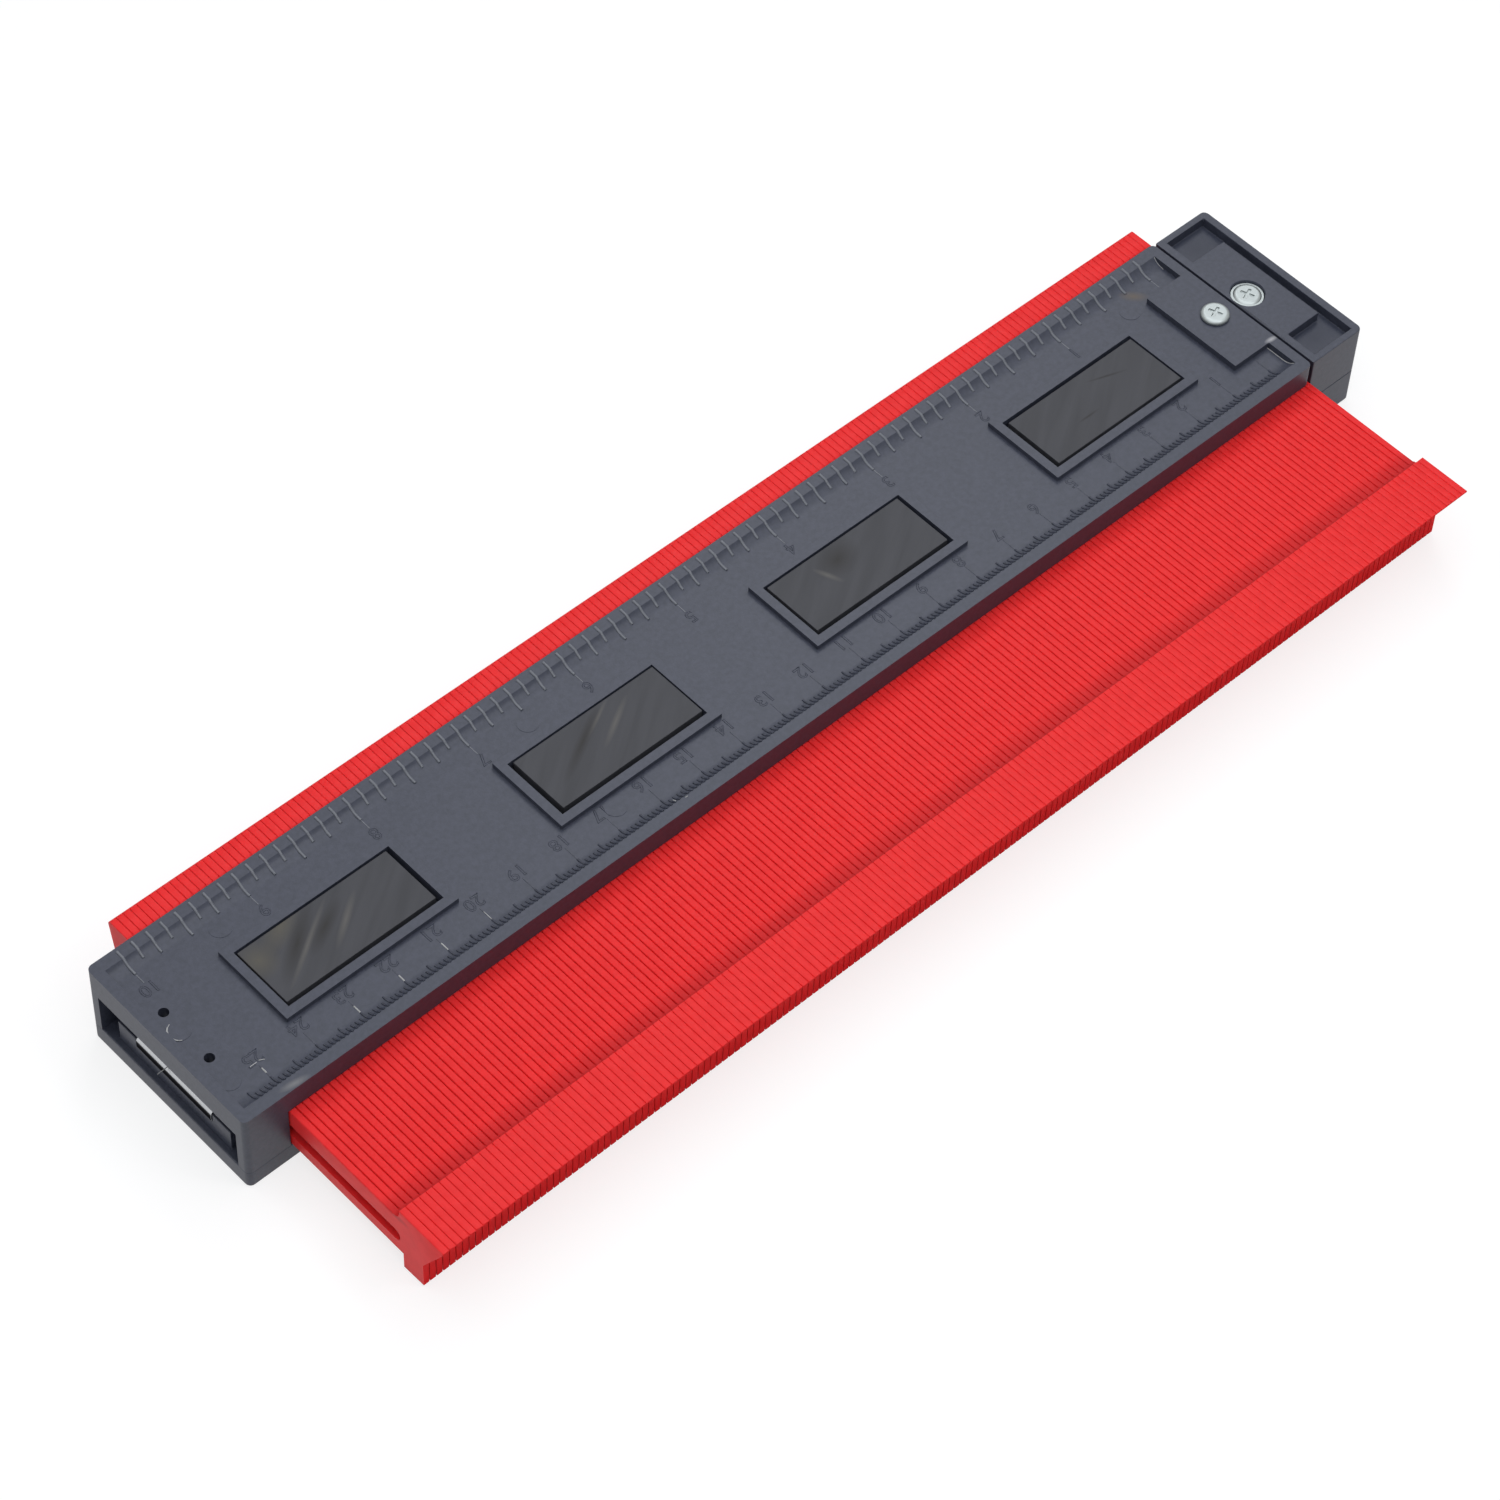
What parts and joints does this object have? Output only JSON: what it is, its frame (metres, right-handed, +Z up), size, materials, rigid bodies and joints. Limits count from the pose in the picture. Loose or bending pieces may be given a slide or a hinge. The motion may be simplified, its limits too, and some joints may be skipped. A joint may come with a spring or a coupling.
{
  "type": "contour gauge",
  "caption": "Contour gauge: a ruled two-part body carries a row of slotted sliding leaves that copy a profile, with framed magnets, an end socket and an adjustable end cap.",
  "frame": {"origin": "centre of the body's bottom face, where the gauge lies on a table", "axes": "+X along the row of leaves towards the end cap, +Y the way the leaves are pushed in, +Z up"},
  "size_m": [0.2815, 0.0902, 0.0209],
  "materials": {
    "body_plastic": "fine satin moulding",
    "leaf_plastic": "satin moulding",
    "ferrite": "ground",
    "screw_steel": "bright zinc plate",
    "bar_metal": "drawn bar"
  },
  "bodies": {
    "gauge_body": {"upper_shell": "body_plastic", "lower_cover": "body_plastic", "guide_bar": "bar_metal", "magnet_1": "ferrite", "magnet_2": "ferrite", "magnet_3": "ferrite", "magnet_4": "ferrite"},
    "end_cap": {"cap_upper": "body_plastic", "cap_lower": "body_plastic", "body_screw": "screw_steel", "cap_screw": "screw_steel", "bottom_screw": "screw_steel"},
    "bank_01": {"leaf_bank_01": "leaf_plastic"},
    "bank_02": {"leaf_bank_02": "leaf_plastic"},
    "bank_03": {"leaf_bank_03": "leaf_plastic"},
    "bank_04": {"leaf_bank_04": "leaf_plastic"},
    "bank_05": {"leaf_bank_05": "leaf_plastic"},
    "bank_06": {"leaf_bank_06": "leaf_plastic"},
    "bank_07": {"leaf_bank_07": "leaf_plastic"},
    "bank_08": {"leaf_bank_08": "leaf_plastic"},
    "bank_09": {"leaf_bank_09": "leaf_plastic"},
    "bank_10": {"leaf_bank_10": "leaf_plastic"},
    "bank_11": {"leaf_bank_11": "leaf_plastic"},
    "bank_12": {"leaf_bank_12": "leaf_plastic"},
    "bank_13": {"leaf_bank_13": "leaf_plastic"},
    "bank_14": {"leaf_bank_14": "leaf_plastic"},
    "bank_15": {"leaf_bank_15": "leaf_plastic"},
    "bank_16": {"leaf_bank_16": "leaf_plastic"},
    "bank_17": {"leaf_bank_17": "leaf_plastic"},
    "bank_18": {"leaf_bank_18": "leaf_plastic"},
    "bank_19": {"leaf_bank_19": "leaf_plastic"},
    "bank_20": {"leaf_bank_20": "leaf_plastic"},
    "bank_21": {"leaf_bank_21": "leaf_plastic"},
    "bank_22": {"leaf_bank_22": "leaf_plastic"},
    "bank_23": {"leaf_bank_23": "leaf_plastic"},
    "bank_24": {"leaf_bank_24": "leaf_plastic"},
    "bank_25": {"leaf_bank_25": "leaf_plastic"},
    "bank_26": {"leaf_bank_26": "leaf_plastic"},
    "bank_27": {"leaf_bank_27": "leaf_plastic"},
    "bank_28": {"leaf_bank_28": "leaf_plastic"},
    "bank_29": {"leaf_bank_29": "leaf_plastic"},
    "bank_30": {"leaf_bank_30": "leaf_plastic"},
    "bank_31": {"leaf_bank_31": "leaf_plastic"},
    "bank_32": {"leaf_bank_32": "leaf_plastic"},
    "bank_33": {"leaf_bank_33": "leaf_plastic"},
    "bank_34": {"leaf_bank_34": "leaf_plastic"},
    "bank_35": {"leaf_bank_35": "leaf_plastic"}
  },
  "joints": [
    {"name": "cap_adjust", "type": "slide", "parent": "gauge_body", "child": "end_cap", "axis": [1, 0, 0], "range_m": [0, 0.0008]},
    {"name": "bank_01_slide", "type": "slide", "parent": "gauge_body", "child": "bank_01", "axis": [0, 1, 0], "range_m": [0, 0.027]},
    {"name": "bank_02_slide", "type": "slide", "parent": "gauge_body", "child": "bank_02", "axis": [0, 1, 0], "range_m": [0, 0.027]},
    {"name": "bank_03_slide", "type": "slide", "parent": "gauge_body", "child": "bank_03", "axis": [0, 1, 0], "range_m": [0, 0.027]},
    {"name": "bank_04_slide", "type": "slide", "parent": "gauge_body", "child": "bank_04", "axis": [0, 1, 0], "range_m": [0, 0.027]},
    {"name": "bank_05_slide", "type": "slide", "parent": "gauge_body", "child": "bank_05", "axis": [0, 1, 0], "range_m": [0, 0.027]},
    {"name": "bank_06_slide", "type": "slide", "parent": "gauge_body", "child": "bank_06", "axis": [0, 1, 0], "range_m": [0, 0.027]},
    {"name": "bank_07_slide", "type": "slide", "parent": "gauge_body", "child": "bank_07", "axis": [0, 1, 0], "range_m": [0, 0.027]},
    {"name": "bank_08_slide", "type": "slide", "parent": "gauge_body", "child": "bank_08", "axis": [0, 1, 0], "range_m": [0, 0.027]},
    {"name": "bank_09_slide", "type": "slide", "parent": "gauge_body", "child": "bank_09", "axis": [0, 1, 0], "range_m": [0, 0.027]},
    {"name": "bank_10_slide", "type": "slide", "parent": "gauge_body", "child": "bank_10", "axis": [0, 1, 0], "range_m": [0, 0.027]},
    {"name": "bank_11_slide", "type": "slide", "parent": "gauge_body", "child": "bank_11", "axis": [0, 1, 0], "range_m": [0, 0.027]},
    {"name": "bank_12_slide", "type": "slide", "parent": "gauge_body", "child": "bank_12", "axis": [0, 1, 0], "range_m": [0, 0.027]},
    {"name": "bank_13_slide", "type": "slide", "parent": "gauge_body", "child": "bank_13", "axis": [0, 1, 0], "range_m": [0, 0.027]},
    {"name": "bank_14_slide", "type": "slide", "parent": "gauge_body", "child": "bank_14", "axis": [0, 1, 0], "range_m": [0, 0.027]},
    {"name": "bank_15_slide", "type": "slide", "parent": "gauge_body", "child": "bank_15", "axis": [0, 1, 0], "range_m": [0, 0.027]},
    {"name": "bank_16_slide", "type": "slide", "parent": "gauge_body", "child": "bank_16", "axis": [0, 1, 0], "range_m": [0, 0.027]},
    {"name": "bank_17_slide", "type": "slide", "parent": "gauge_body", "child": "bank_17", "axis": [0, 1, 0], "range_m": [0, 0.027]},
    {"name": "bank_18_slide", "type": "slide", "parent": "gauge_body", "child": "bank_18", "axis": [0, 1, 0], "range_m": [0, 0.027]},
    {"name": "bank_19_slide", "type": "slide", "parent": "gauge_body", "child": "bank_19", "axis": [0, 1, 0], "range_m": [0, 0.027]},
    {"name": "bank_20_slide", "type": "slide", "parent": "gauge_body", "child": "bank_20", "axis": [0, 1, 0], "range_m": [0, 0.027]},
    {"name": "bank_21_slide", "type": "slide", "parent": "gauge_body", "child": "bank_21", "axis": [0, 1, 0], "range_m": [0, 0.027]},
    {"name": "bank_22_slide", "type": "slide", "parent": "gauge_body", "child": "bank_22", "axis": [0, 1, 0], "range_m": [0, 0.027]},
    {"name": "bank_23_slide", "type": "slide", "parent": "gauge_body", "child": "bank_23", "axis": [0, 1, 0], "range_m": [0, 0.027]},
    {"name": "bank_24_slide", "type": "slide", "parent": "gauge_body", "child": "bank_24", "axis": [0, 1, 0], "range_m": [0, 0.027]},
    {"name": "bank_25_slide", "type": "slide", "parent": "gauge_body", "child": "bank_25", "axis": [0, 1, 0], "range_m": [0, 0.027]},
    {"name": "bank_26_slide", "type": "slide", "parent": "gauge_body", "child": "bank_26", "axis": [0, 1, 0], "range_m": [0, 0.027]},
    {"name": "bank_27_slide", "type": "slide", "parent": "gauge_body", "child": "bank_27", "axis": [0, 1, 0], "range_m": [0, 0.027]},
    {"name": "bank_28_slide", "type": "slide", "parent": "gauge_body", "child": "bank_28", "axis": [0, 1, 0], "range_m": [0, 0.027]},
    {"name": "bank_29_slide", "type": "slide", "parent": "gauge_body", "child": "bank_29", "axis": [0, 1, 0], "range_m": [0, 0.027]},
    {"name": "bank_30_slide", "type": "slide", "parent": "gauge_body", "child": "bank_30", "axis": [0, 1, 0], "range_m": [0, 0.027]},
    {"name": "bank_31_slide", "type": "slide", "parent": "gauge_body", "child": "bank_31", "axis": [0, 1, 0], "range_m": [0, 0.027]},
    {"name": "bank_32_slide", "type": "slide", "parent": "gauge_body", "child": "bank_32", "axis": [0, 1, 0], "range_m": [0, 0.027]},
    {"name": "bank_33_slide", "type": "slide", "parent": "gauge_body", "child": "bank_33", "axis": [0, 1, 0], "range_m": [0, 0.027]},
    {"name": "bank_34_slide", "type": "slide", "parent": "gauge_body", "child": "bank_34", "axis": [0, 1, 0], "range_m": [0, 0.027]},
    {"name": "bank_35_slide", "type": "slide", "parent": "gauge_body", "child": "bank_35", "axis": [0, 1, 0], "range_m": [0, 0.027]}
  ]
}
